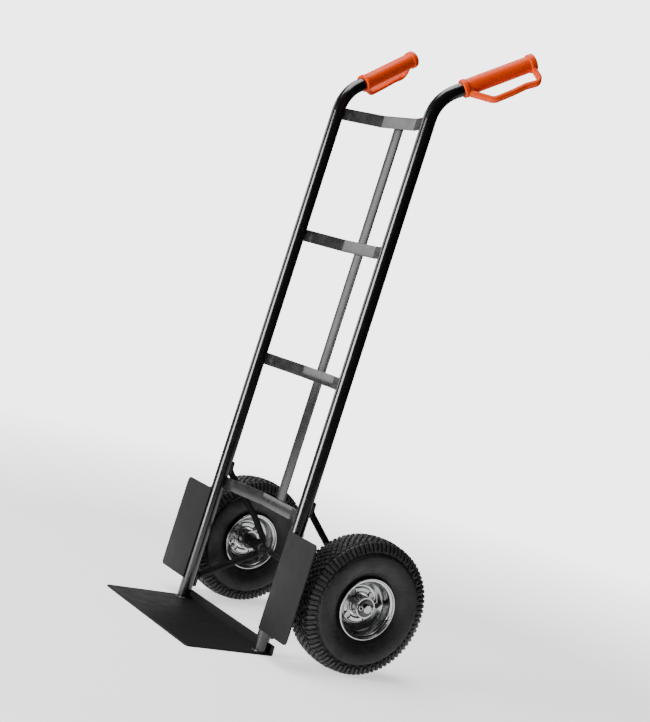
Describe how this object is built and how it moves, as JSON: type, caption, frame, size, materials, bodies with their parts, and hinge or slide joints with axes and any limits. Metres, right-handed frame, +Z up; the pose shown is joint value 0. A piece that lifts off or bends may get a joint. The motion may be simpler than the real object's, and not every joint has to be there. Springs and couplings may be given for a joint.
{
  "type": "hand truck",
  "caption": "Two-wheeled hand truck with a tubular steel frame, curved cross bars, fixed toe plate, pneumatic wheels behind guards, and handles with knuckle guards.",
  "frame": {"origin": "on the floor, at the middle of the truck's outline seen from above", "axes": "+Z up, -Y towards the load side where the toe plate reaches out, +X across the truck along the axle"},
  "size_m": [0.5538, 0.4348, 1.1975],
  "materials": {
    "powder_coat": "gloss powder coat",
    "powder_coat_plate": "satin powder coat",
    "zinc_steel": "zinc plated",
    "rim_zinc": "bright zinc plated, semi-gloss",
    "bearing_steel": "ground steel",
    "tyre_rubber": "moulded black rubber",
    "inner_tube_rubber": "smooth black rubber",
    "valve_rubber": "smooth black rubber",
    "black_plastic": "matte",
    "orange_plastic": "semi-gloss moulded plastic"
  },
  "bodies": {
    "frame": {"side_tube_left": "powder_coat", "side_tube_right": "powder_coat", "cross_bar_bottom": "powder_coat", "cross_bar_lower": "powder_coat", "cross_bar_upper": "powder_coat", "cross_bar_top": "powder_coat", "centre_strap": "powder_coat", "toe_plate": "powder_coat_plate", "wheel_guard_left": "powder_coat_plate", "wheel_guard_right": "powder_coat_plate", "axle_strut_left": "powder_coat", "axle_strut_right": "powder_coat", "axle_boss_left": "powder_coat", "axle_boss_right": "powder_coat", "axle": "zinc_steel", "split_pins": "zinc_steel", "axle_washers": "zinc_steel", "axle_spacers": "black_plastic", "grip_left": "orange_plastic", "grip_right": "orange_plastic", "bearing_inner_races_left": "bearing_steel", "bearing_inner_races_right": "bearing_steel", "bearing_spacer_left": "zinc_steel", "bearing_spacer_right": "zinc_steel"},
    "left_wheel": {"tyre_left": "tyre_rubber", "inner_tube_left": "inner_tube_rubber", "valve_stem_left": "valve_rubber", "valve_cap_left": "black_plastic", "rim_outer_left": "rim_zinc", "rim_inner_left": "rim_zinc", "rim_bolts_left": "zinc_steel", "rim_nuts_left": "zinc_steel", "hub_left": "zinc_steel", "bearing_outer_races_left": "bearing_steel", "bearing_shields_left": "bearing_steel"},
    "right_wheel": {"tyre_right": "tyre_rubber", "inner_tube_right": "inner_tube_rubber", "valve_stem_right": "valve_rubber", "valve_cap_right": "black_plastic", "rim_outer_right": "rim_zinc", "rim_inner_right": "rim_zinc", "rim_bolts_right": "zinc_steel", "rim_nuts_right": "zinc_steel", "hub_right": "zinc_steel", "bearing_outer_races_right": "bearing_steel", "bearing_shields_right": "bearing_steel"},
    "left_ball_cages": {"bearing_balls_left": "bearing_steel", "bearing_cages_left": "bearing_steel"},
    "right_ball_cages": {"bearing_balls_right": "bearing_steel", "bearing_cages_right": "bearing_steel"}
  },
  "joints": [
    {"name": "left_wheel_spin", "type": "hinge", "parent": "frame", "child": "left_wheel", "pos_m": [-0.2344, 0.0874, 0.13], "axis": [1, 0, 0], "continuous": true},
    {"name": "right_wheel_spin", "type": "hinge", "parent": "frame", "child": "right_wheel", "pos_m": [0.2344, 0.0874, 0.13], "axis": [1, 0, 0], "continuous": true},
    {"name": "left_cage_spin", "type": "hinge", "parent": "frame", "child": "left_ball_cages", "pos_m": [-0.2344, 0.0874, 0.13], "axis": [1, 0, 0], "continuous": true},
    {"name": "right_cage_spin", "type": "hinge", "parent": "frame", "child": "right_ball_cages", "pos_m": [0.2344, 0.0874, 0.13], "axis": [1, 0, 0], "continuous": true}
  ],
  "couplings": [
    {"joint": "left_cage_spin", "follows": "left_wheel_spin", "ratio": 0.605},
    {"joint": "right_cage_spin", "follows": "right_wheel_spin", "ratio": 0.605}
  ]
}
